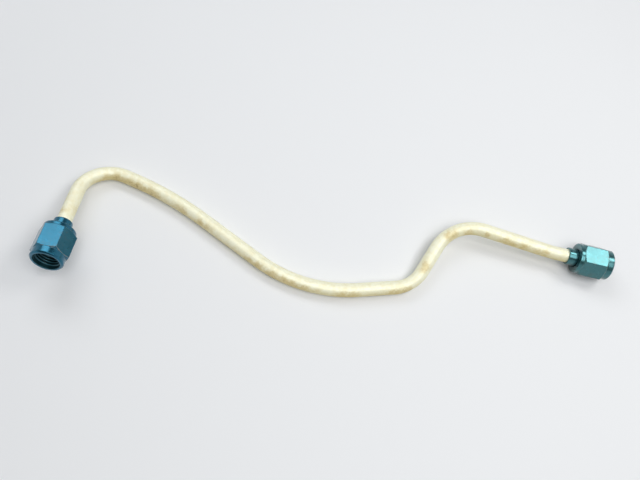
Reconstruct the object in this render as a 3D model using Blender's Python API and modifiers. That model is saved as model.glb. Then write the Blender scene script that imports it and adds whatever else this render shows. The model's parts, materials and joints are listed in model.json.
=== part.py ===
"""Hard fuel line: a bent tube flared at both ends, with a sleeve and a coupling nut on each end.

Metres, +Z up. The line lies on a flat floor at Z = 0 as it comes to rest: on its left bend and its
belly, and on one flat of the right nut. The right nut's axis runs along +X. The origin is on the
floor, under the middle of the line's outline seen from above.
"""

from math import ceil, cos, pi, radians, sin, sqrt, tan

import bmesh
import bpy
from mathutils import Matrix, Vector

# Tube, 1/4 inch, with 37 degree flares
TUBE_DIAMETER = 0.00635
TUBE_WALL = 0.00071
FLARE_DIAMETER = 0.0089
FLARE_ANGLE = radians(37)

# How much a bend flattens the tube in the bend's plane, as a share of tube radius over bend radius
BEND_FLATTENING = 0.35

# Route of the tube's centre line, from the left end to the right. Each bend is given by the point
# where the straights on its two sides would meet, and by its radius
LEFT_LEG_LENGTH = 0.0488
LEFT_LEG_HEADING = radians(-87.6)
LEFT_LEG_RISE = radians(14.6)
LEFT_BEND_X = -0.1209
LEFT_BEND_Y = 0.0206
LEFT_BEND_RADIUS = 0.0145
SHOULDER_X = -0.0803
SHOULDER_Y = 0.0126
SHOULDER_RADIUS = 0.158
BELLY_X = -0.0118
BELLY_Y = -0.0187
BELLY_RADIUS = 0.067
FOOT_X = 0.0369
FOOT_Y = -0.0035
FOOT_RADIUS = 0.0164
CREST_X = 0.0501
CREST_Y = 0.0311
CREST_HEIGHT = 0.0090
CREST_RADIUS = 0.0208
RIGHT_SET_X = 0.0993
RIGHT_SET_RADIUS = 0.060
RIGHT_AXIS_Y = 0.0277
RIGHT_MOUTH_X = 0.1275

# Coupling nut, 9/16 inch hexagon. Lengths along its axis run back from its mouth
NUT_ACROSS_FLATS = 0.01429
NUT_LENGTH = 0.0164
NUT_COLLAR_DIAMETER = 0.0141
NUT_FRONT_COLLAR = 0.0033
NUT_BACK_COLLAR = 0.0017
NUT_CORNER_SLOPE = radians(30)
NUT_RIM_CHAMFER = 0.0006
NUT_BACK_CHAMFER = 0.0003
NUT_HOLE_CLEARANCE = 0.00025

# Threaded socket of the nut, 7/16 inch, bored to the thread's crests, with a relief behind it
THREAD_MINOR_DIAMETER = 0.0098
THREAD_LENGTH = 0.0064
MOUTH_COUNTERSINK_DIAMETER = 0.0116
RELIEF_DIAMETER = 0.0113

# Sleeve, which sits on the tube behind the flare and carries the nut
FLARE_DEPTH = 0.0080
SLEEVE_LENGTH = 0.0125
SLEEVE_DIAMETER = 0.0082
SLEEVE_HEAD_DIAMETER = 0.0095
SLEEVE_HEAD_LENGTH = 0.0026
SLEEVE_SHOULDER_SLOPE = radians(45)
SLEEVE_TAIL_CHAMFER = 0.0004
SLEEVE_BORE_CLEARANCE = 0.0001

# Gap between faces that seat on each other
SEAT_GAP = 0.0002

# How far the turned blank stands out past the hexagon's corners, and the hexagon stock past the nut
BLANK_ALLOWANCE = 0.0002
STOCK_ALLOWANCE = 0.0050

# Fineness of the round surfaces
TUBE_BEVEL_RESOLUTION = 10
BEND_STEP = radians(7.5)
TURNED_STEPS = 48
SMOOTH_ANGLE = radians(28)

TUBE_RADIUS = TUBE_DIAMETER / 2
NUT_CORNER_RADIUS = NUT_ACROSS_FLATS / sqrt(3)
FLARE_LENGTH = (FLARE_DIAMETER - TUBE_DIAMETER) / 2 / tan(FLARE_ANGLE)
TUBE_SIDES = 4 + 2 * TUBE_BEVEL_RESOLUTION


def clear_scene():
    """Removes every object, so that the file holds only the line."""
    for obj in list(bpy.data.objects):
        bpy.data.objects.remove(obj, do_unlink=True)


def make_collection(name):
    collection = bpy.data.collections.new(name)
    bpy.context.scene.collection.children.link(collection)
    return collection


def make_material(name, colour, metallic, roughness):
    """A Principled material of one colour."""
    material = bpy.data.materials.new(name)
    material.use_nodes = True
    shader = material.node_tree.nodes["Principled BSDF"]
    shader.inputs["Base Color"].default_value = (*colour, 1)
    shader.inputs["Metallic"].default_value = metallic
    shader.inputs["Roughness"].default_value = roughness
    material.diffuse_color = (*colour, 1)
    return material


def shade_round(mesh):
    """Smooth shading, with the turned edges and the hexagon's corners left sharp."""
    mesh.shade_smooth()
    mesh.set_sharp_from_angle(angle=SMOOTH_ANGLE)


def end_axis(heading, rise):
    """Unit vector out of an end's mouth: its heading in plan, from +X, and its rise from level."""
    return Vector((cos(rise) * cos(heading), cos(rise) * sin(heading), sin(rise)))


def end_frame(mouth, outward):
    """World matrix of an end: origin at the nut's mouth, local Z outward, local X as near up as can be."""
    up = Vector((0, 0, 1))
    local_x = (up - outward * up.dot(outward)).normalized()
    local_y = outward.cross(local_x)
    turn = Matrix((local_x, local_y, outward)).transposed()
    return Matrix.Translation(mouth) @ turn.to_4x4()


def left_end():
    """The left mouth's frame. The leg climbs from the left bend, which lies on the floor."""
    outward = end_axis(LEFT_LEG_HEADING, LEFT_LEG_RISE)
    corner = Vector((LEFT_BEND_X, LEFT_BEND_Y, TUBE_RADIUS))
    return end_frame(corner + outward * (LEFT_LEG_LENGTH + FLARE_DEPTH), outward)


def right_end():
    """The right mouth's frame. The nut lies on one flat, so its axis is half the hexagon high."""
    mouth = Vector((RIGHT_MOUTH_X, RIGHT_AXIS_Y, NUT_ACROSS_FLATS / 2))
    return end_frame(mouth, Vector((1, 0, 0)))


def bend_rings(before, corner, after, radius):
    """Rings of the tube round one bend, each as its centre, its squash and the squash's direction."""
    back = (before - corner).normalized()
    ahead = (after - corner).normalized()
    turn = pi - back.angle(ahead)
    centre = corner + (back + ahead).normalized() * radius / cos(turn / 2)
    start = corner + back * radius * tan(turn / 2) - centre
    normal = start.cross(corner - centre).normalized()
    steps = max(3, ceil(turn / BEND_STEP))
    full_squash = BEND_FLATTENING * TUBE_RADIUS / radius
    rings = []
    for step in range(steps + 1):
        share = step / steps
        spoke = Matrix.Rotation(turn * share, 3, normal) @ start
        rings.append((centre + spoke, full_squash * sin(pi * share), spoke.normalized()))
    return rings


def flare_ring(mouth_frame, depth):
    """A plain ring across an end's axis, at a depth behind the mouth."""
    return (mouth_frame @ Vector((0, 0, -depth)), 0, Vector((0, 0, 1)))


def tube_rings(left, right):
    """Every ring of the tube from its left flare to its right one, with its radius."""
    corners = (
        (Vector((LEFT_BEND_X, LEFT_BEND_Y, TUBE_RADIUS)), LEFT_BEND_RADIUS),
        (Vector((SHOULDER_X, SHOULDER_Y, TUBE_RADIUS)), SHOULDER_RADIUS),
        (Vector((BELLY_X, BELLY_Y, TUBE_RADIUS)), BELLY_RADIUS),
        (Vector((FOOT_X, FOOT_Y, TUBE_RADIUS)), FOOT_RADIUS),
        (Vector((CREST_X, CREST_Y, CREST_HEIGHT)), CREST_RADIUS),
        (Vector((RIGHT_SET_X, RIGHT_AXIS_Y, NUT_ACROSS_FLATS / 2)), RIGHT_SET_RADIUS),
    )
    stops = [left.translation] + [point for point, _ in corners] + [right.translation]
    rings = [(flare_ring(left, FLARE_DEPTH), FLARE_DIAMETER / 2)]
    rings.append((flare_ring(left, FLARE_DEPTH + FLARE_LENGTH), TUBE_RADIUS))
    for index, (corner, radius) in enumerate(corners):
        for ring in bend_rings(stops[index], corner, stops[index + 2], radius):
            rings.append((ring, TUBE_RADIUS))
    rings.append((flare_ring(right, FLARE_DEPTH + FLARE_LENGTH), TUBE_RADIUS))
    rings.append((flare_ring(right, FLARE_DEPTH), FLARE_DIAMETER / 2))
    return rings


def make_tube(rings, material, collection):
    """Sweeps the tube's outer skin along the route, flattens it in the bends and gives it its wall."""
    curve = bpy.data.curves.new("tube_route", "CURVE")
    curve.dimensions = "3D"
    curve.bevel_depth = TUBE_RADIUS
    curve.bevel_resolution = TUBE_BEVEL_RESOLUTION
    spline = curve.splines.new("POLY")
    spline.points.add(len(rings) - 1)
    for point, ((centre, _, _), radius) in zip(spline.points, rings):
        point.co = (*centre, 1)
        point.radius = radius / TUBE_RADIUS
    guide = bpy.data.objects.new("tube_route", curve)
    collection.objects.link(guide)
    bpy.context.view_layer.update()
    graph = bpy.context.evaluated_depsgraph_get()
    mesh = bpy.data.meshes.new_from_object(guide.evaluated_get(graph))
    bpy.data.objects.remove(guide, do_unlink=True)

    # The sweep lists its vertices ring by ring
    for index, vertex in enumerate(mesh.vertices):
        (centre, squash, inward), _ = rings[index // TUBE_SIDES]
        in_plane = inward * (vertex.co - centre).dot(inward)
        vertex.co -= in_plane * squash

    mesh.name = "tube"
    shade_round(mesh)
    mesh.materials.clear()
    mesh.materials.append(material)
    tube = bpy.data.objects.new("tube", mesh)
    collection.objects.link(tube)
    wall = tube.modifiers.new("wall", "SOLIDIFY")
    wall.thickness = TUBE_WALL
    wall.offset = -1
    wall.use_even_offset = True
    return tube


def turned_object(name, profile, collection):
    """A solid of revolution about local Z from a closed outline of (radius, depth behind the mouth)."""
    mesh = bpy.data.meshes.new(name)
    outline = [(radius, 0, -depth) for radius, depth in profile]
    edges = [(index, (index + 1) % len(outline)) for index in range(len(outline))]
    mesh.from_pydata(outline, edges, [])
    obj = bpy.data.objects.new(name, mesh)
    collection.objects.link(obj)
    screw = obj.modifiers.new("turn", "SCREW")
    screw.axis = "Z"
    screw.angle = 2 * pi
    screw.steps = TURNED_STEPS
    screw.render_steps = TURNED_STEPS
    screw.use_merge_vertices = True
    screw.merge_threshold = 0.00001
    return obj


def apply_modifiers(obj):
    """Bakes the object's modifiers into its mesh."""
    bpy.context.view_layer.update()
    graph = bpy.context.evaluated_depsgraph_get()
    mesh = bpy.data.meshes.new_from_object(obj.evaluated_get(graph))
    mesh.name = obj.name
    obj.modifiers.clear()
    obj.data = mesh


def sleeve_profile():
    """Half section of a sleeve: a head with a 37 degree seat, a sloped shoulder and a plain shank."""
    front = FLARE_DEPTH + SEAT_GAP
    tail = front + SLEEVE_LENGTH
    bore = TUBE_RADIUS + SLEEVE_BORE_CLEARANCE
    # The seat is parallel to the flare's outer cone and stands the seat gap off it
    seat_at_front = FLARE_DIAMETER / 2 - SEAT_GAP * tan(FLARE_ANGLE) + SEAT_GAP / cos(FLARE_ANGLE)
    seat_depth = (seat_at_front - bore) / tan(FLARE_ANGLE)
    head = SLEEVE_HEAD_DIAMETER / 2
    shank = SLEEVE_DIAMETER / 2
    head_end = front + SLEEVE_HEAD_LENGTH
    shoulder_end = head_end + (head - shank) * tan(SLEEVE_SHOULDER_SLOPE)
    return (
        (head, front),
        (head, head_end),
        (shank, shoulder_end),
        (shank, tail - SLEEVE_TAIL_CHAMFER),
        (shank - SLEEVE_TAIL_CHAMFER, tail),
        (bore, tail),
        (bore, front + seat_depth),
        (seat_at_front, front),
    )


def nut_profile():
    """Half section of the nut's turned blank: two collars, sloped corners, hole, shoulder and socket."""
    blank = NUT_CORNER_RADIUS + BLANK_ALLOWANCE
    collar = NUT_COLLAR_DIAMETER / 2
    slope = (blank - collar) * tan(NUT_CORNER_SLOPE)
    back_collar = NUT_LENGTH - NUT_BACK_COLLAR
    hole = SLEEVE_DIAMETER / 2 + NUT_HOLE_CLEARANCE
    relief = RELIEF_DIAMETER / 2
    # The inner shoulder is parallel to the sleeve's and stands the seat gap behind it
    head = SLEEVE_HEAD_DIAMETER / 2
    head_end = FLARE_DEPTH + SEAT_GAP + SLEEVE_HEAD_LENGTH
    standoff = SEAT_GAP / cos(SLEEVE_SHOULDER_SLOPE)
    shoulder_hole = head_end + (head - hole) * tan(SLEEVE_SHOULDER_SLOPE) + standoff
    shoulder_relief = head_end + (head - relief) * tan(SLEEVE_SHOULDER_SLOPE) + standoff
    thread = THREAD_MINOR_DIAMETER / 2
    mouth = MOUTH_COUNTERSINK_DIAMETER / 2
    return (
        (collar - NUT_RIM_CHAMFER, 0),
        (collar, NUT_RIM_CHAMFER),
        (collar, NUT_FRONT_COLLAR),
        (blank, NUT_FRONT_COLLAR + slope),
        (blank, back_collar - slope),
        (collar, back_collar),
        (collar, NUT_LENGTH - NUT_BACK_CHAMFER),
        (collar - NUT_BACK_CHAMFER, NUT_LENGTH),
        (hole, NUT_LENGTH),
        (hole, shoulder_hole),
        (relief, shoulder_relief),
        (relief, THREAD_LENGTH + relief - thread),
        (thread, THREAD_LENGTH),
        (thread, mouth - thread),
        (mouth, 0),
    )


def make_hexagon(name, end, collection):
    """Cutter: the bar of hexagon stock, with one flat facing the end's local X."""
    mesh = bpy.data.meshes.new(name)
    shape = bmesh.new()
    bmesh.ops.create_cone(
        shape,
        cap_ends=True,
        segments=6,
        radius1=NUT_CORNER_RADIUS,
        radius2=NUT_CORNER_RADIUS,
        depth=NUT_LENGTH + 2 * STOCK_ALLOWANCE,
        matrix=Matrix.Translation((0, 0, -NUT_LENGTH / 2)),
    )
    shape.to_mesh(mesh)
    shape.free()
    cutter = bpy.data.objects.new(name, mesh)
    cutter.parent = end
    cutter.hide_render = True
    cutter.display_type = "WIRE"
    collection.objects.link(cutter)
    return cutter


def make_sleeve(name, end, material, collection):
    sleeve = turned_object(name, sleeve_profile(), collection)
    sleeve.parent = end
    apply_modifiers(sleeve)
    shade_round(sleeve.data)
    sleeve.data.materials.append(material)
    return sleeve


def make_nut(name, end, material, collection, cutters):
    """A turned blank, cut to the hexagon between its collars."""
    nut = turned_object(name, nut_profile(), collection)
    nut.parent = end
    flats = nut.modifiers.new("flats", "BOOLEAN")
    flats.operation = "INTERSECT"
    flats.solver = "EXACT"
    flats.object = make_hexagon(name + "_stock", end, cutters)
    apply_modifiers(nut)
    shade_round(nut.data)
    nut.data.materials.append(material)
    return nut


def make_end(name, frame, collection):
    """An empty on the end's axis, at the nut's mouth, which the sleeve and the nut hang from."""
    end = bpy.data.objects.new(name, None)
    end.empty_display_size = NUT_LENGTH
    end.matrix_world = frame
    collection.objects.link(end)
    return end


def main():
    clear_scene()
    line = make_collection("fuel_line")
    cutters = make_collection("fuel_line_cutters")
    metal = make_material("tube_metal", (0.76, 0.74, 0.62), 1, 0.34)
    anodised = make_material("blue_anodised", (0.03, 0.20, 0.32), 1, 0.30)

    left = left_end()
    right = right_end()
    make_tube(tube_rings(left, right), metal, line)
    for side, frame in (("left", left), ("right", right)):
        end = make_end(side + "_end", frame, line)
        make_sleeve(side + "_sleeve", end, anodised, line)
        make_nut(side + "_nut", end, anodised, line, cutters)


main()
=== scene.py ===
"""Looks of a hard fuel line: a bent tube, flared at both ends, with a sleeve and a blue coupling nut
on each end.

Metres, +Z up, in the frame of the solids. Each nut's axis and mouth come from its joint in the frame.
"""

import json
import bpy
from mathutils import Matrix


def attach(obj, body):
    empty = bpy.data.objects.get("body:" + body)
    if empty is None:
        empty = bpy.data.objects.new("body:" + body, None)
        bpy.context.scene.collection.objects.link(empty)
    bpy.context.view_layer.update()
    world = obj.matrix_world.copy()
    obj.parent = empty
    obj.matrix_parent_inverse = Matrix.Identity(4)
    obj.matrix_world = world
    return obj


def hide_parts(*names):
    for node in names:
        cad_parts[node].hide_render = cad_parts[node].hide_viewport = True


bl_info = {
    "name": "Hard Fuel Line",
    "version": (1, 0, 0),
    "blender": (4, 5, 0),
    "location": "3D View > Sidebar > Fuel Line",
    "description": "Builds a bent, stained fuel line with its sleeves, coupling nuts and studio stage",
    "category": "Object",
}

from collections import namedtuple
from math import acos, ceil, cos, pi, radians, sin, sqrt, tan

import bpy
import numpy as np
from bpy.props import FloatProperty, FloatVectorProperty, IntProperty, PointerProperty
from mathutils import Euler, Matrix, Vector

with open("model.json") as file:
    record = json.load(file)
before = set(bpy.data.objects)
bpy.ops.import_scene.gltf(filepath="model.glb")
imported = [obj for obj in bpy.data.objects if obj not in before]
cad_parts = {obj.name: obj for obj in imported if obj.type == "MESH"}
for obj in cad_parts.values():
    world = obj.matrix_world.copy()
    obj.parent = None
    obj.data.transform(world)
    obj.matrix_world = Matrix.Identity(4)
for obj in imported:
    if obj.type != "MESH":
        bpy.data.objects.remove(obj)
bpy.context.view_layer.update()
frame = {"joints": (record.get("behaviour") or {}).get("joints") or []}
JOINTS = {joint["name"]: joint for joint in frame["joints"]}
SIDES = ("left", "right")

# Depth of both flares behind the nuts' mouths, and the gap between a flare and its sleeve
FLARE_DEPTH = 0.0080
SLEEVE_GAP = 0.0002

# The tube's bends, from the left end to the right: where the straights on both sides would meet, and
# the bend's radius
BENDS = (
    ((-0.1209, 0.0206, 0.003175), 0.0145),
    ((-0.0803, 0.0126, 0.003175), 0.158),
    ((-0.0118, -0.0187, 0.003175), 0.067),
    ((0.0369, -0.0035, 0.003175), 0.0164),
    ((0.0501, 0.0311, 0.0090), 0.0208),
    ((0.0993, 0.0277, 0.007145), 0.060),
)

# The side of the tube that holds most of its stains and its painted shade: forward and down
STAINED_AND_SHADED_SIDE = (0.10, -0.90, -0.42)

# The camera, with its lens and sensor in millimetres, and its picture in pixels
CAMERA_LOCATION = (-0.0217, -0.1025, 0.283)
CAMERA_TURN = (radians(20.644), radians(-6.949), radians(11.444))
CAMERA_LENS = 36.5625
SENSOR_WIDTH = 36
PICTURE_WIDTH = 640
PICTURE_HEIGHT = 480

# A stain of the tube: where the camera sees it, in pixels across and down its picture, its height
# above the floor, how far it reaches on the metal, and its strength
Stain = namedtuple("Stain", "across down height reach strength")

STAINS = (
    # Left bend and upper diagonal
    Stain(107, 177, 0.0046, 0.0027, 0.6),
    Stain(118.5, 177.5, 0.0046, 0.0027, 0.8),
    Stain(128.5, 182, 0.0046, 0.0022, 0.7),
    Stain(137, 185.5, 0.0046, 0.0027, 0.9),
    Stain(150, 191.5, 0.0046, 0.0027, 1.0),
    Stain(157, 194, 0.0046, 0.0022, 0.9),
    Stain(177, 206, 0.0046, 0.0022, 0.5),
    Stain(184, 209.5, 0.0046, 0.0022, 0.9),
    Stain(201.5, 221.5, 0.0046, 0.0022, 0.8),
    Stain(209, 227, 0.0046, 0.0022, 0.6),
    # Left leg
    Stain(74, 208.5, 0.0125, 0.0027, 0.8),
    Stain(63.5, 211.5, 0.0130, 0.0024, 1.3),
    Stain(71.5, 199.5, 0.0100, 0.0024, 1.1),
    Stain(78.5, 186, 0.0085, 0.0022, 0.9),
    # Lower diagonal and belly
    Stain(248.5, 258.5, 0.0046, 0.0022, 0.5),
    Stain(258.5, 265, 0.0046, 0.0022, 0.9),
    Stain(271.5, 274, 0.0046, 0.0027, 1.0),
    Stain(283, 279.5, 0.0046, 0.0027, 0.9),
    Stain(293.5, 284, 0.0046, 0.0022, 1.0),
    Stain(278, 269, 0.0046, 0.0022, 0.4),
    Stain(304, 288, 0.0046, 0.0022, 0.6),
    Stain(316, 290.5, 0.0046, 0.0022, 0.4),
    Stain(340, 294, 0.0040, 0.0034, 0.4),
    Stain(352, 294, 0.0040, 0.0034, 0.45),
    Stain(394, 292, 0.0044, 0.0034, 0.6),
    Stain(404, 290, 0.0044, 0.0027, 0.7),
    Stain(409, 286.5, 0.0048, 0.0022, 0.3),
    # Rise
    Stain(425.5, 264.5, 0.0092, 0.0026, 2.2),
    Stain(424.5, 268, 0.0086, 0.0020, 1.4),
    # Crest and right leg
    Stain(447.5, 235.5, 0.0112, 0.0022, 1.5),
    Stain(450.5, 233.5, 0.0110, 0.0026, 0.9),
    Stain(456, 233.5, 0.0105, 0.0022, 0.8),
    Stain(469, 232.5, 0.0100, 0.0022, 0.6),
    Stain(487, 235, 0.0101, 0.0013, 1.0),
    Stain(506, 241, 0.0094, 0.0022, 0.7),
    Stain(513, 246, 0.0092, 0.0022, 0.5),
    Stain(524, 247.5, 0.0090, 0.0027, 0.7),
    Stain(537, 251, 0.0086, 0.0027, 0.5),
    Stain(546, 253, 0.0086, 0.0022, 0.5),
)


def length_property(name, description, default):
    return FloatProperty(
        name=name, description=description, default=default, min=0, unit="LENGTH", precision=5
    )


def colour_property(name, description, default):
    return FloatVectorProperty(
        name=name, description=description, default=default, min=0, max=1, size=3, subtype="COLOR"
    )


class TubeSettings(bpy.types.PropertyGroup):
    """Sizes and colours of the bent tube."""

    diameter: length_property("Diameter", "Outside diameter of the tube", 0.00635)
    wall: length_property("Wall", "Thickness of the tube's wall", 0.00071)
    flare_diameter: length_property("Flare Diameter", "Diameter of the flared mouths", 0.0089)
    flare_angle: FloatProperty(
        name="Flare Angle",
        description="Angle between a flare and the tube's axis",
        default=radians(37),
        subtype="ANGLE",
    )
    bend_flattening: FloatProperty(
        name="Bend Flattening",
        description="How much a bend flattens the tube, as a share of tube radius over bend radius",
        default=0.35,
        min=0,
        max=1,
    )
    lip_rounding: length_property("Lip Rounding", "Rounding of the flares' lips", 0.00012)
    sides: IntProperty(name="Sides", description="Facets round the tube", default=48, min=12, max=96)
    ring_spacing: length_property("Ring Spacing", "Distance between the tube's rings", 0.0009)
    plating: colour_property("Plating", "Colour of the clean plating", (0.92, 0.91, 0.71))
    tarnish: colour_property("Tarnish", "Colour of the mottled, yellowed plating", (0.85, 0.80, 0.53))
    # Haze: a yellowed film on the low side, made darker than the plating as painted shade
    haze_and_shade: colour_property("Haze", "Colour of the dull film on the low side", (0.70, 0.62, 0.33))
    stain: colour_property("Stain", "Colour of the ochre stains", (0.635, 0.505, 0.20))
    rust: colour_property("Rust", "Colour of the darkest specks", (0.30, 0.185, 0.075))
    bore: colour_property("Bore", "Colour of the tube's bore", (0.55, 0.52, 0.44))


class SleeveSettings(bpy.types.PropertyGroup):
    """Sizes of the sleeve behind each flare."""

    length: length_property("Length", "Length of the sleeve", 0.0125)
    diameter: length_property("Diameter", "Diameter of the sleeve's shank", 0.0082)
    head_diameter: length_property("Head Diameter", "Diameter of the sleeve's head", 0.0095)
    head_length: length_property("Head Length", "Length of the sleeve's head", 0.0026)
    bore: length_property("Bore", "Diameter of the sleeve's bore", 0.00655)
    seat_diameter: length_property("Seat Diameter", "Diameter of the seat at its open end", 0.0091)
    seat_depth: length_property("Seat Depth", "Depth of the seat under the flare", 0.00169)
    rounding: length_property("Rounding", "Rounding of the sleeve's edges", 0.00015)
    sides: IntProperty(name="Sides", description="Facets round the sleeve", default=96, min=12, max=192)


class NutSettings(bpy.types.PropertyGroup):
    """Sizes and colours of the coupling nuts."""

    across_flats: length_property("Across Flats", "Width across the nut's flats", 0.01429)
    length: length_property("Length", "Length of the nut", 0.0164)
    collar_diameter: length_property("Collar Diameter", "Diameter of the round ends", 0.0141)
    front_collar: length_property("Front Collar", "Length of the round end at the mouth", 0.0033)
    back_collar: length_property("Back Collar", "Length of the round end at the back", 0.0017)
    rim_chamfer: length_property("Rim Chamfer", "Chamfer round the mouth's rim", 0.0006)
    hole_diameter: length_property("Hole Diameter", "Hole for the sleeve's shank", 0.0087)
    socket_diameter: length_property("Socket Diameter", "Diameter at the thread's roots", 0.0113)
    socket_depth: length_property("Socket Depth", "Depth of the socket's end", 0.0107)
    thread_diameter: length_property("Thread Diameter", "Diameter at the thread's crests", 0.0098)
    thread_pitch: length_property("Thread Pitch", "Distance from one turn to the next", 0.00127)
    thread_start: length_property("Thread Start", "Depth of the first turn", 0.0008)
    thread_length: length_property("Thread Length", "Length of the cut thread", 0.0056)
    edge_rounding: length_property("Edge Rounding", "Rounding of the nut's edges", 0.00022)
    rubbed_width: length_property("Rubbed Width", "Width of the rubbed bands by the corners", 0.0005)
    left_film: colour_property("Left Film", "Colour of the left end's blue film", (0.006, 0.130, 0.215))
    right_film: colour_property("Right Film", "Colour of the right end's film", (0.048, 0.176, 0.194))
    worn: colour_property("Worn", "Colour of the rubbed edges", (0.33, 0.31, 0.27))
    # The grime's colour also serves as painted shade near the floor
    grime_and_shade: colour_property("Grime", "Colour of the film of dirt", (0.10, 0.085, 0.06))
    # The socket's colour is painted shade inside the nut and the sleeve
    socket: colour_property("Socket", "Colour inside the socket", (0.022, 0.085, 0.10))


class StageSettings(bpy.types.PropertyGroup):
    """Floor, lamps and camera."""

    floor: colour_property("Floor", "Colour of the floor", (0.80, 0.81, 0.83))
    floor_width: length_property("Floor Width", "Width of the floor", 6.0)
    lit_reach: length_property("Lit Reach", "How far out the floor is seen as the lamps light it", 0.17)
    plain_reach: length_property("Plain Reach", "From where the floor is one plain colour", 0.38)
    room_colour: colour_property("Room Colour", "Colour of the room's light", (0.97, 0.985, 1.0))
    room_top: FloatProperty(name="Room Top", description="Light from straight above", default=0.24)
    room_side: FloatProperty(name="Room Side", description="Light from the horizon", default=0.17)
    backdrop: FloatProperty(name="Backdrop", description="Brightness of the backdrop", default=0.825)
    camera_location: FloatVectorProperty(
        name="Camera Location",
        description="Where the camera stands",
        default=CAMERA_LOCATION,
        subtype="TRANSLATION",
        unit="LENGTH",
    )
    camera_turn: FloatVectorProperty(
        name="Camera Turn",
        description="How the camera is turned",
        default=CAMERA_TURN,
        subtype="EULER",
    )
    camera_lens: FloatProperty(name="Lens", description="In millimetres", default=CAMERA_LENS)


class FuelLineSettings(bpy.types.PropertyGroup):
    """Everything about the line that can be changed."""

    tube: PointerProperty(type=TubeSettings, name="Tube", description="The bent tube")
    sleeve: PointerProperty(type=SleeveSettings, name="Sleeves", description="Both sleeves")
    nut: PointerProperty(type=NutSettings, name="Nuts", description="Both coupling nuts")
    stage: PointerProperty(type=StageSettings, name="Stage", description="Floor, lamps and camera")


class Nodes:
    """Adds nodes to a tree. Each input is given as a value or as the socket that feeds it."""

    def __init__(self, tree):
        self.tree = tree

    def feed(self, node, inputs):
        for key, value in inputs.items():
            if isinstance(value, bpy.types.NodeSocket):
                self.tree.links.new(value, node.inputs[key])
            else:
                node.inputs[key].default_value = value

    def add(self, kind, inputs=None, **settings):
        node = self.tree.nodes.new(kind)
        for name, value in settings.items():
            setattr(node, name, value)
        self.feed(node, inputs or {})
        return node

    def math(self, operation, *values):
        return self.add("ShaderNodeMath", dict(enumerate(values)), operation=operation).outputs[0]

    def vector(self, operation, *values):
        node = self.add("ShaderNodeVectorMath", dict(enumerate(values)), operation=operation)
        return node.outputs["Value" if operation in ("DOT_PRODUCT", "LENGTH") else "Vector"]

    def scaled(self, vector, factor):
        node = self.add("ShaderNodeVectorMath", {0: vector, "Scale": factor}, operation="SCALE")
        return node.outputs[0]

    def step(self, value, low, high, bottom=0.0, top=1.0):
        """Rises smoothly from bottom to top as value goes from low to high."""
        ends = {"Value": value, "From Min": low, "From Max": high, "To Min": bottom, "To Max": top}
        return self.add("ShaderNodeMapRange", ends, interpolation_type="SMOOTHSTEP").outputs[0]

    def blend(self, share, first, second):
        """A colour between two colours."""
        colours = {0: share, 6: rgba(first), 7: rgba(second)}
        return self.add("ShaderNodeMix", colours, data_type="RGBA").outputs[2]

    def average(self, first, share, second):
        """The average of two values, in which the first has the given share."""
        return self.math("MULTIPLY_ADD", first, share, self.math("MULTIPLY", second, 1 - share))

    def noise(self, place, pattern):
        if any(pattern.shift):
            place = self.vector("ADD", place, pattern.shift)
        values = {
            "Vector": place,
            "Scale": pattern.scale,
            "Detail": pattern.detail,
            "Roughness": pattern.roughness,
        }
        return self.add("ShaderNodeTexNoise", values).outputs[0]

    def bump(self, height, strength, distance):
        values = {"Strength": strength, "Distance": distance, "Height": height}
        return self.add("ShaderNodeBump", values).outputs[0]

    def object_place(self):
        return self.add("ShaderNodeTexCoord").outputs["Object"]

    def surface_value(self, name):
        return self.add("ShaderNodeAttribute", attribute_name=name).outputs["Fac"]

    def route_value(self, name, kind):
        node = self.add("GeometryNodeInputNamedAttribute", {"Name": name}, data_type=kind)
        return node.outputs[0]

    def stored(self, geometry, name, value, kind):
        """A geometry with a value stored at each of its points."""
        values = {"Geometry": geometry, "Name": name, "Value": value}
        return self.add("GeometryNodeStoreNamedAttribute", values, data_type=kind).outputs[0]


def rgba(colour):
    return colour if isinstance(colour, bpy.types.NodeSocket) else (*colour, 1)


def make_material(name):
    """A new Principled material, as itself, its node adder and its shader."""
    material = bpy.data.materials.new(name)
    material.use_nodes = True
    nodes = Nodes(material.node_tree)
    return material, nodes, material.node_tree.nodes["Principled BSDF"]


# A noise pattern: cells in a metre, detail, roughness, and its shift from the other patterns
Pattern = namedtuple("Pattern", "scale detail roughness shift", defaults=((0, 0, 0),))

# The plating's patterns, from wide to fine
PLATING_CLOUD = Pattern(130, 4, 0.6)
PLATING_PATCH = Pattern(420, 5, 0.62, (0.31, 0.17, 0.05))
PLATING_SPECK = Pattern(1250, 3, 0.6, (0.07, 0.23, 0.11))
PLATING_GRAIN = Pattern(3600, 3, 0.6)

# Where each film, stain and painted shade on the plating starts and is full, and its share there where
# that isn't 0 and 1. The first two go by how far the surface faces the stained and shaded side, and the
# others by a pattern or by the amount of soil. The haze on the low side is partly painted shade.
HAZE_AND_SHADE_SIDE = (0.0, 1.0)
SOILED_SIDE = (-0.25, 0.40, 0.35, 1.0)
RAGGED_EDGES = (0.38, 0.60)
STRAY_PLACES = (0.38, 0.62)
STAINED = (0.02, 0.60)
RUSTED = (0.50, 1.25)
HAZE_AND_SHADE_CLOUDS = (0.25, 0.65, 0.72, 1.0)
TARNISHED_PATCHES = (0.40, 0.66, 0.0, 0.55)

# Soil away from the stains, on the clean side and how much more on the stained one
STRAY_SOIL = 0.10
STRAY_SOIL_ADDED = 0.24

# How much of the plating's colour a full stain and full rust cover
STAIN_COVER = 0.68
RUST_COVER = 0.60

# Where two of the plating's patterns are mixed, the coarser one's share
COARSE_SHARE = 0.6

# The plating's roughness, from dark specks to light ones, and what patches and stains add to it
PLATING_DULLNESS = (0.2, 0.8, 0.38, 0.50)
PATCH_DULLNESS = 0.20
STAIN_DULLNESS = 0.12


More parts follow.
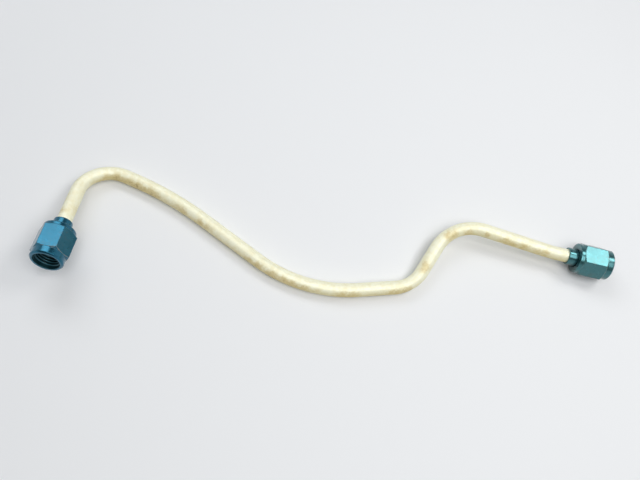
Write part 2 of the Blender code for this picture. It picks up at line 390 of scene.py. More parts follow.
def plated_metal(settings):
    """Pale plating, with a dull yellowed film and painted shade on its low side, and brown, speckled
    stains.
    """
    material, nodes, shader = make_material("stained_plating")
    place = nodes.object_place()
    outward = nodes.add("ShaderNodeAttribute", attribute_name="outward").outputs["Vector"]
    side = nodes.vector("DOT_PRODUCT", outward, STAINED_AND_SHADED_SIDE)
    low = nodes.step(side, *HAZE_AND_SHADE_SIDE)
    cloud = nodes.noise(place, PLATING_CLOUD)
    patch = nodes.noise(place, PLATING_PATCH)
    speck = nodes.noise(place, PLATING_SPECK)
    grain = nodes.noise(place, PLATING_GRAIN)

    # A stain is a soft ochre tint, broken up by the patches, with browner specks in its middle
    ragged = nodes.step(nodes.average(patch, COARSE_SHARE, speck), *RAGGED_EDGES)
    stray = nodes.math("MULTIPLY_ADD", low, STRAY_SOIL_ADDED, STRAY_SOIL)
    stray = nodes.math("MULTIPLY", stray, nodes.step(cloud, *STRAY_PLACES))
    soil = nodes.math("MULTIPLY", nodes.surface_value("soil"), nodes.step(side, *SOILED_SIDE))
    amount = nodes.math("ADD", soil, stray)
    half_ragged = nodes.math("MULTIPLY_ADD", ragged, 0.5, 0.5)
    stain = nodes.step(nodes.math("MULTIPLY", amount, half_ragged), *STAINED)
    rust = nodes.step(nodes.math("MULTIPLY", amount, ragged), *RUSTED)
    # Painted shade: the low side is darkened, and yellowed, towards the haze colour, broken up by clouds
    haze_and_shade = nodes.math("MULTIPLY", low, nodes.step(cloud, *HAZE_AND_SHADE_CLOUDS))

    colour = nodes.blend(nodes.step(patch, *TARNISHED_PATCHES), settings.plating, settings.tarnish)
    colour = nodes.blend(haze_and_shade, colour, settings.haze_and_shade)
    colour = nodes.blend(nodes.math("MULTIPLY", stain, STAIN_COVER), colour, settings.stain)
    colour = nodes.blend(nodes.math("MULTIPLY", rust, RUST_COVER), colour, settings.rust)

    dull = nodes.step(speck, *PLATING_DULLNESS)
    dull = nodes.math("MULTIPLY_ADD", patch, PATCH_DULLNESS, dull)
    dull = nodes.math("MULTIPLY_ADD", stain, STAIN_DULLNESS, dull)
    height = nodes.average(speck, COARSE_SHARE, grain)
    finish = {
        "Base Color": colour,
        "Metallic": 0.3,
        "Roughness": dull,
        "Coat Weight": 0.3,
        "Coat Roughness": 0.38,
        "Normal": nodes.bump(height, strength=0.5, distance=0.00008),
    }
    nodes.feed(shader, finish)
    return material


# The film in the tube's bore, and its darkest shade as a share of the bore's colour
BORE_FILM = Pattern(420, 4, 0.55)
BORE_SHADE = 0.5


def bore_metal(settings):
    """The dull inside of the tube."""
    material, nodes, shader = make_material("tube_bore")
    film = nodes.noise(nodes.object_place(), BORE_FILM)
    dark = tuple(channel * BORE_SHADE for channel in settings.bore)
    colour = nodes.blend(film, dark, settings.bore)
    nodes.feed(shader, {"Base Color": colour, "Metallic": 0.8, "Roughness": 0.55})
    return material


# The anodised film's patterns, from wide to fine, and its turning marks in a metre
FILM_CLOUD = Pattern(170, 3, 0.5)
FILM_PATCH = Pattern(620, 5, 0.6, (0.21, 0.05, 0.13))
FILM_GRAIN = Pattern(2600, 3, 0.6)
TURNING_MARKS = 9000.0

# The film's deepest shade, as a share of its colour, and the clouds that are between the two
DEEP_FILM = 0.84
DEEP_CLOUDS = (0.3, 0.7)

# Rubbed edges: their wear everywhere and how much more by the mouth, how far the patches break it up,
# where the metal starts to show and is bare, and how much of the film bare metal covers
EDGE_WEAR = 0.45
FRONT_WEAR_ADDED = 0.40
PATCHY_WEAR = 1.1
BARE = (0.86, 1.20)
BARE_COVER = 0.65

# Grime: where the patches and clouds hold it, and the most they hold. Painted shade in the same colour:
# the share that it has from the first height above the floor up to the second
GRIMY_PATCHES = (0.42, 0.72)
GRIMY_CLOUDS = (0.35, 0.7)
PATCHY_GRIME = 0.25
FLOOR_SHADE = (0.003, 0.011, 0.45, 0.0)

# How much of the film the socket's colour covers, as painted shade inside the socket
SOCKET_SHADE_COVER = 0.92

# The film's roughness, from one kind of patch to the other, and what is added to it where it is
# turned, bare, or inside the socket
FILM_DULLNESS = (0.3, 0.75, 0.27, 0.32)
TURNED_DULLNESS = -0.04
BARE_DULLNESS = 0.16
SOCKET_DULLNESS = 0.25

# Heights of the film's grain and of its turning marks, as shares of the whole relief
GRAIN_HEIGHT = 0.35
MARKS_HEIGHT = 0.25


def anodised(name, film, settings):
    """Coloured anodised aluminium: turning marks, thin grime, rubbed edges, painted shade low down and in
    the socket.
    """
    material, nodes, shader = make_material(name)
    place = nodes.object_place()
    edge = nodes.surface_value("edge")
    front = nodes.surface_value("front")
    inside = nodes.surface_value("inside")
    turned = nodes.surface_value("turned")
    cloud = nodes.noise(place, FILM_CLOUD)
    patch = nodes.noise(place, FILM_PATCH)
    grain = nodes.noise(place, FILM_GRAIN)

    wear = nodes.math("MULTIPLY", edge, nodes.math("MULTIPLY_ADD", front, FRONT_WEAR_ADDED, EDGE_WEAR))
    wear = nodes.step(nodes.math("MULTIPLY_ADD", patch, PATCHY_WEAR, wear), *BARE)
    # Painted shade: the nut darkens towards the floor in the grime's colour, besides its patchy grime
    above_floor = nodes.add("ShaderNodeSeparateXYZ", {0: place}).outputs["Z"]
    grime_and_shade = nodes.math("MULTIPLY", nodes.step(patch, *GRIMY_PATCHES), nodes.step(cloud, *GRIMY_CLOUDS))
    grime_and_shade = nodes.math("MULTIPLY_ADD", grime_and_shade, PATCHY_GRIME, nodes.step(above_floor, *FLOOR_SHADE))

    deep = tuple(channel * DEEP_FILM for channel in film)
    colour = nodes.blend(nodes.step(cloud, *DEEP_CLOUDS), deep, film)
    colour = nodes.blend(grime_and_shade, colour, settings.grime_and_shade)
    colour = nodes.blend(nodes.math("MULTIPLY", wear, BARE_COVER), colour, settings.worn)
    # Painted shade inside the socket and by the sleeve's hole, in the socket's colour
    colour = nodes.blend(nodes.math("MULTIPLY", inside, SOCKET_SHADE_COVER), colour, settings.socket)

    # The marks run round the turned surfaces, one row after the other along the outline's path
    marks = {"W": nodes.surface_value("path"), "Scale": TURNING_MARKS, "Detail": 2.0}
    rings = nodes.add("ShaderNodeTexNoise", marks, noise_dimensions="1D").outputs[0]
    rings = nodes.math("MULTIPLY", rings, turned)
    height = nodes.math("MULTIPLY_ADD", grain, GRAIN_HEIGHT, nodes.math("MULTIPLY", rings, MARKS_HEIGHT))

    dull = nodes.step(patch, *FILM_DULLNESS)
    dull = nodes.math("MULTIPLY_ADD", turned, TURNED_DULLNESS, dull)
    dull = nodes.math("MULTIPLY_ADD", wear, BARE_DULLNESS, dull)
    dull = nodes.math("MULTIPLY_ADD", inside, SOCKET_DULLNESS, dull)
    finish = {
        "Base Color": colour,
        "Metallic": 1.0,
        "Roughness": dull,
        "Coat Weight": 0.55,
        "Coat Roughness": 0.20,
        "Normal": nodes.bump(height, strength=0.18, distance=0.00004),
    }
    nodes.feed(shader, finish)
    return material


def geometry_tree(name, inputs):
    """A tree that takes a geometry and the named inputs, as its node adder and its given sockets."""
    tree = bpy.data.node_groups.new(name, "GeometryNodeTree")
    tree.interface.new_socket("Geometry", in_out="INPUT", socket_type="NodeSocketGeometry")
    for label, kind in inputs:
        tree.interface.new_socket(label, in_out="INPUT", socket_type="NodeSocket" + kind)
    tree.interface.new_socket("Geometry", in_out="OUTPUT", socket_type="NodeSocketGeometry")
    nodes = Nodes(tree)
    return nodes, nodes.add("NodeGroupInput").outputs


def end_geometry_tree(nodes, geometry, material):
    real = nodes.add("GeometryNodeRealizeInstances", {"Geometry": geometry}).outputs[0]
    given = nodes.add("GeometryNodeSetMaterial", {"Geometry": real, "Material": material})
    nodes.add("NodeGroupOutput", {"Geometry": given.outputs[0]})
    return nodes.tree


def run_tree(obj, tree, values):
    """Puts a geometry tree on an object as a modifier, with values for its named inputs."""
    modifier = obj.modifiers.new(tree.name, "NODES")
    modifier.node_group = tree
    for socket in tree.interface.items_tree:
        if socket.in_out == "INPUT" and socket.name in values:
            modifier[socket.identifier] = values[socket.name]


def tube_sweep_tree():
    """Sweeps a round skin along the route, swells it into the flares and flattens it in the bends."""
    inputs = (("Diameter", "Float"), ("Sides", "Int"), ("Material", "Material"))
    nodes, given = geometry_tree("tube_sweep", inputs)
    here = nodes.add("GeometryNodeInputPosition").outputs[0]
    route = nodes.add("GeometryNodeMeshToCurve", {"Mesh": given["Geometry"]}).outputs[0]
    centred = nodes.stored(route, "centre", here, "FLOAT_VECTOR")
    radius = nodes.math("DIVIDE", given["Diameter"], 2.0)
    around = {"Resolution": given["Sides"], "Radius": radius}
    ring = nodes.add("GeometryNodeCurvePrimitiveCircle", around).outputs[0]
    sweep = {"Curve": centred, "Profile Curve": ring, "Scale": nodes.route_value("swell", "FLOAT")}
    skin = nodes.add("GeometryNodeCurveToMesh", sweep).outputs[0]

    inward = nodes.route_value("inward", "FLOAT_VECTOR")
    spoke = nodes.vector("SUBTRACT", here, nodes.route_value("centre", "FLOAT_VECTOR"))
    in_plane = nodes.vector("DOT_PRODUCT", spoke, inward)
    squash = nodes.math("MULTIPLY", in_plane, nodes.route_value("squash", "FLOAT"))
    shift = nodes.scaled(inward, nodes.math("MULTIPLY", squash, -1.0))
    skin = nodes.stored(skin, "outward", nodes.vector("NORMALIZE", spoke), "FLOAT_VECTOR")
    skin = nodes.add("GeometryNodeSetPosition", {"Geometry": skin, "Offset": shift}).outputs[0]
    skin = nodes.add("GeometryNodeSetShadeSmooth", {"Geometry": skin}).outputs[0]
    return end_geometry_tree(nodes, skin, given["Material"])


# The thread's ridge: its flanks' slope, its crest as a share of the pitch, how deep its foot is sunk
# into the socket's wall, and its points in one turn
THREAD_FLANK = radians(30)
THREAD_CREST = 0.24
THREAD_SINK = 0.00004
THREAD_POINTS = 72

# The ridge rises out of the wall over its first stretch and sinks back over its last, as shares of
# its length, and is never thinner than this share of its full size
THREAD_RISE = (0.0, 0.08)
THREAD_FALL = (0.90, 1.0, 1.0, 0.0)
THREAD_THINNEST = 0.02

# How far inside the ridge counts, which sets how much painted shade it takes
THREAD_INSIDE = 0.80


def nut_thread_tree():
    """Adds the ridge of a right-hand inside thread to a nut whose mouth is at the origin and faces +Z."""
    sizes = ("Root Diameter", "Crest Diameter", "Pitch", "Start", "Length")
    inputs = [(size, "Float") for size in sizes] + [("Material", "Material")]
    nodes, given = geometry_tree("nut_thread", inputs)
    root = nodes.math("MULTIPLY_ADD", given["Root Diameter"], 0.5, THREAD_SINK)
    tall = nodes.math("SUBTRACT", root, nodes.math("MULTIPLY", given["Crest Diameter"], 0.5))
    crest = nodes.math("MULTIPLY", given["Pitch"], THREAD_CREST)
    foot = nodes.math("MULTIPLY_ADD", tall, 2 * tan(THREAD_FLANK), crest)

    winding = {
        "Resolution": THREAD_POINTS,
        "Rotations": nodes.math("DIVIDE", given["Length"], given["Pitch"]),
        "Start Radius": root,
        "End Radius": root,
        "Height": given["Length"],
        "Reverse": True,
    }
    helix = nodes.add("GeometryNodeCurveSpiral", winding).outputs[0]
    depth = nodes.math("MULTIPLY", nodes.math("ADD", given["Start"], given["Length"]), -1.0)
    down = nodes.add("ShaderNodeCombineXYZ", {"Z": depth}).outputs[0]
    helix = nodes.add("GeometryNodeTransform", {"Geometry": helix, "Translation": down}).outputs[0]
    helix = nodes.add("GeometryNodeSetCurveNormal", {"Curve": helix}, mode="Z_UP").outputs[0]

    trapezoid = {"Height": tall, "Bottom Width": foot, "Top Width": crest, "Offset": 0.0}
    section = nodes.add("GeometryNodeCurvePrimitiveQuadrilateral", trapezoid, mode="TRAPEZOID").outputs[0]
    raised = nodes.add("ShaderNodeCombineXYZ", {"X": nodes.math("MULTIPLY", tall, -0.5)}).outputs[0]
    inward = {"Geometry": section, "Rotation": (0, 0, radians(90)), "Translation": raised}
    section = nodes.add("GeometryNodeTransform", inward).outputs[0]

    along = nodes.add("GeometryNodeSplineParameter").outputs["Factor"]
    fade = nodes.math("MULTIPLY", nodes.step(along, *THREAD_RISE), nodes.step(along, *THREAD_FALL))
    fade = nodes.math("MAXIMUM", fade, THREAD_THINNEST)
    sweep = {"Curve": helix, "Profile Curve": section, "Scale": fade, "Fill Caps": True}
    ridge = nodes.add("GeometryNodeCurveToMesh", sweep).outputs[0]
    ridge = nodes.stored(ridge, "inside", THREAD_INSIDE, "FLOAT")
    joined = nodes.add("GeometryNodeJoinGeometry")
    for geometry in (ridge, given["Geometry"]):
        nodes.tree.links.new(geometry, joined.inputs[0])
    return end_geometry_tree(nodes, joined.outputs[0], given["Material"])


def end_frame(side):
    """Matrix of an end: origin at the nut's mouth, local Z out of it, local X as near up as can be."""
    joint = JOINTS[side + "_nut_spin"]
    outward = Vector(joint["axis"]).normalized()
    up = Vector((0, 0, 1))
    local_x = (up - outward * up.dot(outward)).normalized()
    turn = Matrix((local_x, outward.cross(local_x), outward)).transposed()
    return Matrix.Translation(joint["pos_m"]) @ turn.to_4x4()


def new_object(name, data):
    """A new object in the scene."""
    obj = bpy.data.objects.new(name, data)
    bpy.context.scene.collection.objects.link(obj)
    return obj


def finish_piece(name, obj, place, node, materials):
    """Turns a built object into one plain mesh at its place, and lets it stand for its solid."""
    bpy.context.view_layer.update()
    graph = bpy.context.evaluated_depsgraph_get()
    mesh = bpy.data.meshes.new_from_object(obj.evaluated_get(graph))
    mesh.name = name
    mesh.transform(place)
    # The tree's Set Material leaves its own slots, so they are filled or taken off here
    while len(mesh.materials) > len(materials):
        mesh.materials.pop()
    for index, material in enumerate(materials):
        if index < len(mesh.materials):
            mesh.materials[index] = material
        else:
            mesh.materials.append(material)
    bpy.data.objects.remove(obj, do_unlink=True)
    piece = new_object(name, mesh)
    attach(piece, node)
    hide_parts(node)
    return piece


# A ring of the tube: its centre, its width as a share of the tube's, how much the bend flattens it,
# and in which direction
Ring = namedtuple("Ring", "centre swell squash inward", defaults=(1.0, 0.0, (0, 0, 1)))

# Rings of a flare, as shares of its length from its mouth. Its cone meets the tube at 1, where the
# corner is filled by this share of the flare's own widening.
FLARE_RINGS = (0, 0.2, 0.5, 0.8, 0.93, 1, 1.08, 1.3, 2.2)
FLARE_FILLET = 0.02

# The least number of steps round a bend
FEWEST_BEND_STEPS = 4

# The flares' lips are the only edges of the tube that are sharper than this
SHARP_EDGE = radians(50)


def straight_rings(start, stop, spacing):
    """The rings between two points of a straight, without those at its ends."""
    steps = max(1, ceil((stop - start).length / spacing))
    return [Ring(start.lerp(stop, step / steps)) for step in range(1, steps)]


def bend_rings(before, corner, after, radius, tube):
    """The rings of one bend, flattened most in its middle."""
    back = (before - corner).normalized()
    ahead = (after - corner).normalized()
    turn = pi - back.angle(ahead)
    centre = corner + (back + ahead).normalized() * radius / cos(turn / 2)
    start = corner + back * radius * tan(turn / 2) - centre
    normal = start.cross(corner - centre).normalized()
    steps = max(FEWEST_BEND_STEPS, ceil(turn * radius / tube.ring_spacing))
    full_squash = tube.bend_flattening * tube.diameter / 2 / radius
    rings = []
    for step in range(steps + 1):
        share = step / steps
        spoke = Matrix.Rotation(turn * share, 3, normal) @ start
        rings.append(Ring(centre + spoke, 1.0, full_squash * sin(pi * share), spoke.normalized()))
    return rings


def flare_rings(side, tube):
    """The rings of one end's flare, from its mouth inwards."""
    end = end_frame(side)
    length = (tube.flare_diameter - tube.diameter) / 2 / tan(tube.flare_angle)
    widening = tube.flare_diameter / tube.diameter - 1
    rings = []
    for share in FLARE_RINGS:
        swell = 1 + widening * (max(0.0, 1 - share) + FLARE_FILLET * (share == 1))
        rings.append(Ring(end @ Vector((0, 0, -FLARE_DEPTH - length * share)), swell))
    return rings


def tube_rings(tube):
    """Every ring of the tube, from its left flare to its right one."""
    first, last = (flare_rings(side, tube) for side in SIDES)
    corners = [Vector(point) for point, _ in BENDS]
    stops = [end_frame("left").translation] + corners + [end_frame("right").translation]
    rings = list(first)
    for index, (_, radius) in enumerate(BENDS):
        bend = bend_rings(*stops[index : index + 3], radius, tube)
        rings += straight_rings(rings[-1].centre, bend[0].centre, tube.ring_spacing) + bend
    rings += straight_rings(rings[-1].centre, last[-1].centre, tube.ring_spacing)
    return rings + last[::-1]


def make_tube(tube):
    """The bent tube: a skin swept along its route, then given its wall and rounded lips."""
    centres, swell, squash, inward = zip(*tube_rings(tube))
    mesh = bpy.data.meshes.new("tube_route")
    mesh.from_pydata(centres, [(index, index + 1) for index in range(len(centres) - 1)], [])
    for name, values in (("swell", swell), ("squash", squash)):
        mesh.attributes.new(name, "FLOAT", "POINT").data.foreach_set("value", values)
    flat = [channel for direction in inward for channel in direction]
    mesh.attributes.new("inward", "FLOAT_VECTOR", "POINT").data.foreach_set("vector", flat)

    # The wall's inner side takes the second material
    skin, bore = plated_metal(tube), bore_metal(tube)
    mesh.materials.append(skin)
    mesh.materials.append(bore)
    obj = new_object("tube_route", mesh)
    run_tree(obj, tube_sweep_tree(), {"Diameter": tube.diameter, "Sides": tube.sides, "Material": skin})
    wall = obj.modifiers.new("wall", "SOLIDIFY")
    wall.thickness = tube.wall
    wall.offset = -1
    wall.use_even_offset = True
    wall.material_offset = 1
    lips = obj.modifiers.new("lips", "BEVEL")
    lips.limit_method = "ANGLE"
    lips.angle_limit = SHARP_EDGE
    lips.width = tube.lip_rounding
    lips.segments = 2
    soak(finish_piece("bent_tube", obj, Matrix.Identity(4), "tube", (skin, bore)).data)


def stain_place(stain):
    """The point at a stain's height that the camera sees at its place in the picture."""
    pixel = SENSOR_WIDTH / PICTURE_WIDTH
    right = (stain.across - PICTURE_WIDTH / 2) * pixel
    up = (PICTURE_HEIGHT / 2 - stain.down) * pixel
    sight = Vector((right, up, -CAMERA_LENS))
    sight.rotate(Euler(CAMERA_TURN))
    camera = Vector(CAMERA_LOCATION)
    return camera + sight * (stain.height - camera.z) / sight.z


def soak(mesh):
    """Marks how strongly each point of the tube is stained."""
    places = np.empty(len(mesh.vertices) * 3)
    mesh.vertices.foreach_get("co", places)
    places = places.reshape(-1, 3)
    soil = np.zeros(len(places))
    for stain in STAINS:
        away = ((places - np.array(stain_place(stain))) ** 2).sum(axis=1)
        soil += stain.strength * np.exp(-away / stain.reach**2)
    mesh.attributes.new("soil", "FLOAT", "POINT").data.foreach_set("value", soil)


# Rows of a turned outline: how far apart they lie at most, how far apart where the hexagon cuts the
# sloped corners, and a spacing so wide that nothing is added
ROW_SPACING = 0.0005
FINE_SPACING = 0.00006
UNDIVIDED = 1

# A corner of a turned outline, with its rounding, the spacing of the rows that follow it, and how far
# inside the socket it counts, which sets how much painted shade it takes
Corner = namedtuple("Corner", "radius depth rounding spacing inside", defaults=(ROW_SPACING, 0))

# Steps round a corner, and the largest share of an outline's side that a rounding takes
CORNER_STEPS = 5
LARGEST_ROUNDING = 0.45


def rounded_outline(corners):
    """Rows of a closed outline: radius, depth, nearness to an outer edge, how far inside, and path."""
    rows = []
    for index, corner in enumerate(corners):
        point = np.array((corner.radius, corner.depth))
        before = np.array(corners[index - 1][:2]) - point
        after = np.array(corners[(index + 1) % len(corners)][:2]) - point
        reach = min(np.linalg.norm(before), np.linalg.norm(after))
        before /= np.linalg.norm(before)
        after /= np.linalg.norm(after)
        half_angle = acos(np.clip(before @ after, -1, 1)) / 2
        cut = min(corner.rounding / tan(half_angle), reach * LARGEST_ROUNDING)
        convex = before[0] * after[1] - before[1] * after[0] > 0
        for step in range(CORNER_STEPS + 1):
            t = step / CORNER_STEPS
            place = point + before * cut * (1 - t) ** 2 + after * cut * t**2
            spacing = corner.spacing if step == CORNER_STEPS else UNDIVIDED
            rows.append((*place, 4 * t * (1 - t) * convex, corner.inside, spacing))
    filled = []
    path = 0.0
    for index, (*row, spacing) in enumerate(rows):
        following = rows[(index + 1) % len(rows)]
        length = np.hypot(following[0] - row[0], following[1] - row[1])
        pieces = max(1, ceil(length / spacing))
        for piece in range(pieces):
            share = piece / pieces
            mixed = [first + (second - first) * share for first, second in zip(row, following)]
            filled.append((*mixed, path + length * share))
        path += length
    return np.array(filled)


# The least rounding, so small that the edge stays sharp
LEAST_ROUNDING = 1e-9


def soft_minimum(first, second, rounding):
    """The lesser of two radii, with the edge between them rounded, and how near the edge is."""
    rounding = np.maximum(rounding, LEAST_ROUNDING)
    near = np.maximum(rounding - np.abs(first - second), 0) / rounding
    return np.minimum(first, second) - near**2 * rounding / 4, near


# Depth of the edges by the mouth that are rubbed most, and how far from there the rubbing reaches
FRONT_DEPTH = 0.0036
FRONT_REACH = 0.0009


def turned_mesh(name, outline, angles, cut=None):
    """A body turned about local Z. cut changes its radii, and says which points are edges or turned."""
    radius, depth, edge, inside, path = (column[:, None] for column in outline.T)
    around = angles[None, :]
    radii = radius + 0 * around
    edges = edge + 0 * around
    turned = np.ones_like(radii)
    if cut:
        radii, edges, turned = cut(radii, edges, around)
    points = np.stack((radii * np.cos(around), radii * np.sin(around), -depth + 0 * around), axis=-1)
    rows, columns = radii.shape
    grid = np.arange(rows * columns).reshape(rows, columns)
    below = np.roll(grid, -1, axis=0)
    faces = np.stack((grid, below, np.roll(below, -1, axis=1), np.roll(grid, -1, axis=1)), axis=-1)
    mesh = bpy.data.meshes.new(name)
    mesh.from_pydata(points.reshape(-1, 3), [], faces.reshape(-1, 4).tolist())
    front = np.exp(-(((depth - FRONT_DEPTH) / FRONT_REACH) ** 2)) * (1 - inside)
    labelled = {"edge": edges, "inside": inside, "turned": turned, "path": path, "front": front}
    for label, values in labelled.items():
        attribute = mesh.attributes.new(label, "FLOAT", "POINT")
        whole = np.broadcast_to(values, radii.shape).astype(np.float32)
        attribute.data.foreach_set("value", whole.ravel())
    mesh.shade_smooth()
    return mesh


def make_sleeves(sleeve, films):
    """A turned sleeve behind each flare, with its head under the flare and its tail out of the nut."""
    front = FLARE_DEPTH + SLEEVE_GAP
    tail = front + sleeve.length
    head = sleeve.head_diameter / 2
    shank = sleeve.diameter / 2
    bore = sleeve.bore / 2
    head_end = front + sleeve.head_length
    rounding = sleeve.rounding
    outline = rounded_outline(
        (
            Corner(head, front, rounding),
            Corner(head, head_end, rounding),
            Corner(shank, head_end + head - shank, rounding),
            Corner(shank, tail, 2 * rounding),
            Corner(bore, tail, rounding / 2),
            Corner(bore, front + sleeve.seat_depth, rounding / 2, inside=1),
            Corner(sleeve.seat_diameter / 2, front, rounding / 2, inside=1),
        )
    )
    angles = np.arange(sleeve.sides) * 2 * pi / sleeve.sides
    for side in SIDES:
        obj = new_object(side + "_turned_sleeve", turned_mesh("sleeve", outline, angles))
        finish_piece("sleeve_" + side, obj, end_frame(side), side + "_sleeve", (films[side],))


# The nut's turned blank: how far it stands out over the hexagon's corners, the slope of its ends, and
# the small rounding of its edges before they are cut
BLANK_MARGIN = 0.0002
CORNER_SLOPE = radians(30)
CRISP = 0.00005

# The chamfer at the socket's mouth, as shares of the socket's radius, and its own rounding
MOUTH_CHAMFER_DEPTH = 0.03
MOUTH_CHAMFER_WIDTH = 1.026
MOUTH_ROUNDING = 0.0001

# The back end's rounding, as a share of that of the other edges
BACK_ROUNDING = 1.5

# How far inside the hole for the sleeve counts, which sets how much painted shade it takes
HOLE_INSIDE = 0.6


def nut_outline(nut):
    """Rows of the nut's turned blank: two collars, sloped corners, a hole, a shoulder and a socket."""
    blank = nut.across_flats / sqrt(3) + BLANK_MARGIN
    collar = nut.collar_diameter / 2
    slope = (blank - collar) * tan(CORNER_SLOPE)
    back = nut.length - nut.back_collar
    hole = nut.hole_diameter / 2
    socket = nut.socket_diameter / 2
    rounding = nut.edge_rounding
    return rounded_outline(
        (
            Corner(collar - nut.rim_chamfer, 0, rounding),
            Corner(collar, nut.rim_chamfer, rounding),
            Corner(collar, nut.front_collar, CRISP, FINE_SPACING),
            Corner(blank, nut.front_collar + slope, CRISP),
            Corner(blank, back - slope, CRISP, FINE_SPACING),
            Corner(collar, back, CRISP),
            Corner(collar, nut.length, rounding * BACK_ROUNDING),
            Corner(hole, nut.length, rounding, inside=HOLE_INSIDE),
            Corner(hole, nut.socket_depth + socket - hole, rounding, inside=1),
            Corner(socket, nut.socket_depth, rounding, inside=1),
            Corner(socket, socket * MOUTH_CHAMFER_DEPTH, MOUTH_ROUNDING, inside=1),
            Corner(socket * MOUTH_CHAMFER_WIDTH, 0, MOUTH_ROUNDING),
        )
    )


# Degrees from one flat of the hexagon to the next, and degrees from a corner at which the nut has its
# columns, closest together at the corner
FLAT_TURN = 60
COLUMN_OFFSETS = (0, 0.35, 0.7, 1.1, 1.6, 2.3, 3.2, 4.4, 6, 8, 10.5, 13, 15.5, 18, 20.5, 23, 25.5, 28)

# How strongly the edges between flats and sloped corners are rubbed
RUBBED_STRENGTH = 0.8


def hexagon_angles():
    """Angles of the nut's columns, with one at the middle of each flat."""
    angles = [FLAT_TURN * flat for flat in range(6)]
    for flat in range(6):
        corner = FLAT_TURN * (flat + 0.5)
        for offset in COLUMN_OFFSETS:
            angles += [corner - offset, corner + offset]
    return np.radians(sorted({round(angle % 360, 3) for angle in angles}))


def hexagon_cut(nut):
    """Cuts a turned blank to the hexagon, with a flat facing local X and worn, rounded edges."""

    def cut(radii, edges, around):
        collar = nut.collar_diameter / 2
        apothem = nut.across_flats / 2
        flat = np.mod(around + pi / 6, pi / 3) - pi / 6
        nearest = apothem / np.cos(flat)
        second = apothem / np.cos(pi / 3 - np.abs(flat))
        hexagon, corner = soft_minimum(nearest, second, nut.edge_rounding)
        allowed = np.clip(radii - collar, 0, nut.edge_rounding)
        cut_radii, meeting = soft_minimum(radii, hexagon, allowed)
        on_flats = (hexagon < radii) * 1.0
        sloped = radii > collar + CRISP
        rubbed = np.clip(1 - np.abs(radii - hexagon) / nut.rubbed_width, 0, 1)
        rubbed = rubbed * sloped * RUBBED_STRENGTH
        worn = np.maximum.reduce((edges, meeting, corner * on_flats, rubbed))
        return cut_radii, worn, 1 - on_flats

    return cut


def make_nuts(nut, films):
    """A hexagon nut with round ends and a cut thread on each end of the line."""
    tree = nut_thread_tree()
    values = {
        "Root Diameter": nut.socket_diameter,
        "Crest Diameter": nut.thread_diameter,
        "Pitch": nut.thread_pitch,
        "Start": nut.thread_start,
        "Length": nut.thread_length,
    }
    mesh = turned_mesh("nut", nut_outline(nut), hexagon_angles(), hexagon_cut(nut))
    for side in SIDES:
        obj = new_object(side + "_threaded_nut", mesh.copy())
        run_tree(obj, tree, {**values, "Material": films[side]})
        finish_piece("nut_" + side, obj, end_frame(side), side + "_nut", (films[side],))


def background_ray(nodes):
    """1 where the background is seen by the camera, in a reflection or through something clear."""
    ray = nodes.add("ShaderNodeLightPath").outputs
    seen = nodes.math("MAXIMUM", ray["Is Camera Ray"], ray["Is Glossy Ray"])
    return nodes.math("MAXIMUM", seen, ray["Is Transmission Ray"])


def make_floor(stage):
    """A matt floor. Beyond the lamps' reach it shows as its plain colour, also in the metal."""
    half = stage.floor_width / 2
    corners = [(-half, -half, 0), (half, -half, 0), (half, half, 0), (-half, half, 0)]
    mesh = bpy.data.meshes.new("floor")
    mesh.from_pydata(corners, [], [(0, 1, 2, 3)])
    material, nodes, shader = make_material("floor_paint")
    colour = (*stage.floor, 1)
    nodes.feed(shader, {"Base Color": colour, "Roughness": 0.85, "Specular IOR Level": 0.2})
    away = nodes.vector("LENGTH", nodes.object_place())
    unlit = nodes.step(away, stage.lit_reach, stage.plain_reach)
    far = nodes.math("MULTIPLY", background_ray(nodes), unlit)
    plain = nodes.add("ShaderNodeEmission", {"Color": colour}).outputs[0]
    mixed = nodes.add("ShaderNodeMixShader", {0: far, 1: shader.outputs[0], 2: plain}).outputs[0]
    nodes.feed(nodes.tree.nodes["Material Output"], {"Surface": mixed})
    mesh.materials.append(material)
    new_object("floor", mesh)


# Sines of the heights above the horizon between which the room's light rises to its full strength, and
# between which the pale backdrop ends
ROOM_RISE = (0.0, 0.9)
BACKDROP_END = (0.25, 0.60, 1.0, 0.0)


def make_room(stage):
    """Soft light from all round, brightest from above, with a pale backdrop along the horizon."""
    world = bpy.data.worlds.new("studio_room")
    world.use_nodes = True
    bpy.context.scene.world = world
    nodes = Nodes(world.node_tree)
    direction = nodes.add("ShaderNodeTexCoord").outputs["Generated"]
    rise = nodes.add("ShaderNodeSeparateXYZ", {0: direction}).outputs["Z"]
    light = nodes.step(rise, *ROOM_RISE, stage.room_side, stage.room_top)
    low = nodes.math("MULTIPLY", background_ray(nodes), nodes.step(rise, *BACKDROP_END))
    strengths = {0: low, 2: light, 3: stage.backdrop}
    strength = nodes.add("ShaderNodeMix", strengths, data_type="FLOAT").outputs[0]
    background = {"Color": (*stage.room_colour, 1), "Strength": strength}
    nodes.feed(world.node_tree.nodes["Background"], background)


# A soft lamp that faces the middle of the line: its place, size, watts and colour
Lamp = namedtuple("Lamp", "name place width depth power colour")

LAMPS = (
    # Wide, over the front of the line: the long highlights of the tube and collars
    Lamp("top_lamp", (0.15, -0.15, 0.67), 0.56, 0.44, 3.05, (1.0, 1.0, 0.99)),
    # Small, behind on the right: the bright top flat of the right nut
    Lamp("key_lamp", (0.374, 0.262, 0.50), 0.20, 0.20, 0.9, (1.0, 0.99, 0.96)),
    # Low and wide, behind on the left: the top flat and collar of the left nut
    Lamp("back_lamp", (-0.29, 0.40, 0.52), 0.50, 0.26, 1.25, (0.95, 0.98, 1.0)),
)


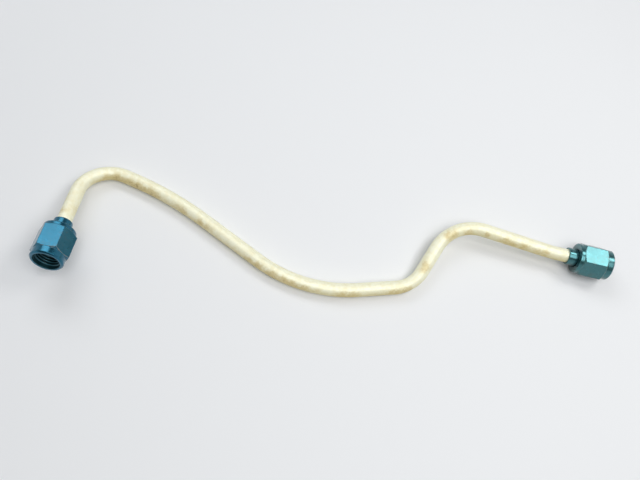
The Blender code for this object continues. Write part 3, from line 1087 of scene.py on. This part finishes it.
def make_lamp(lamp):
    """Hangs one lamp, with its width as near world X as can be."""
    light = bpy.data.lights.new(lamp.name, "AREA")
    light.shape = "RECTANGLE"
    light.size = lamp.width
    light.size_y = lamp.depth
    light.energy = lamp.power
    light.color = lamp.colour
    away = Vector(lamp.place).normalized()
    across = (Vector((1, 0, 0)) - away * away.x).normalized()
    turn = Matrix((across, away.cross(across), away)).transposed()
    obj = new_object(lamp.name, light)
    obj.location = lamp.place
    obj.rotation_euler = turn.to_euler()


def make_camera(stage):
    data = bpy.data.cameras.new("camera")
    data.lens = stage.camera_lens
    data.sensor_width = SENSOR_WIDTH
    data.clip_start = 0.01
    camera = new_object("camera", data)
    camera.location = stage.camera_location
    camera.rotation_euler = Euler(stage.camera_turn)
    bpy.context.scene.camera = camera


def make_stage(stage):
    make_floor(stage)
    make_room(stage)
    for lamp in LAMPS:
        make_lamp(lamp)
    make_camera(stage)
    bpy.context.scene.view_settings.view_transform = "Standard"


def fitting_films():
    """Each end's anodised finish, made once and shared by its nut and its sleeve."""
    nut = bpy.context.scene.fuel_line.nut
    finishes = {"left": ("blue_anodised", nut.left_film), "right": ("teal_anodised", nut.right_film)}
    found = {}
    for side, (name, film) in finishes.items():
        found[side] = bpy.data.materials.get(name) or anodised(name, film, nut)
    return found


class FUELLINE_OT_tube(bpy.types.Operator):
    """Build the bent tube with its flares and stains"""

    bl_idname = "fuel_line.tube"
    bl_label = "Build Tube"

    def execute(self, context):
        make_tube(context.scene.fuel_line.tube)
        return {"FINISHED"}


class FUELLINE_OT_sleeves(bpy.types.Operator):
    """Build the turned sleeve behind each flare"""

    bl_idname = "fuel_line.sleeves"
    bl_label = "Build Sleeves"

    def execute(self, context):
        make_sleeves(context.scene.fuel_line.sleeve, fitting_films())
        return {"FINISHED"}


class FUELLINE_OT_nuts(bpy.types.Operator):
    """Build both coupling nuts with their threads"""

    bl_idname = "fuel_line.nuts"
    bl_label = "Build Nuts"

    def execute(self, context):
        make_nuts(context.scene.fuel_line.nut, fitting_films())
        return {"FINISHED"}


class FUELLINE_OT_stage(bpy.types.Operator):
    """Set the floor, the lamps and the camera"""

    bl_idname = "fuel_line.stage"
    bl_label = "Set Stage"

    def execute(self, context):
        make_stage(context.scene.fuel_line.stage)
        return {"FINISHED"}


class FUELLINE_PT_sidebar(bpy.types.Panel):
    """Lists the line's settings and the steps that build it"""

    bl_idname = "FUELLINE_PT_sidebar"
    bl_label = "Fuel Line"
    bl_space_type = "VIEW_3D"
    bl_region_type = "UI"
    bl_category = "Fuel Line"

    def draw(self, context):
        settings = context.scene.fuel_line
        for part, operator in (
            ("tube", FUELLINE_OT_tube),
            ("sleeve", FUELLINE_OT_sleeves),
            ("nut", FUELLINE_OT_nuts),
            ("stage", FUELLINE_OT_stage),
        ):
            box = self.layout.box()
            group = getattr(settings, part)
            for name in group.__annotations__:
                box.prop(group, name)
            box.operator(operator.bl_idname)


CLASSES = (
    TubeSettings,
    SleeveSettings,
    NutSettings,
    StageSettings,
    FuelLineSettings,
    FUELLINE_OT_tube,
    FUELLINE_OT_sleeves,
    FUELLINE_OT_nuts,
    FUELLINE_OT_stage,
    FUELLINE_PT_sidebar,
)


def register():
    for each in CLASSES:
        bpy.utils.register_class(each)
    bpy.types.Scene.fuel_line = PointerProperty(type=FuelLineSettings)


def unregister():
    del bpy.types.Scene.fuel_line
    for each in reversed(CLASSES):
        bpy.utils.unregister_class(each)


def main():
    register()
    bpy.ops.fuel_line.tube()
    bpy.ops.fuel_line.sleeves()
    bpy.ops.fuel_line.nuts()
    bpy.ops.fuel_line.stage()


if __name__ == "__main__":
    main()
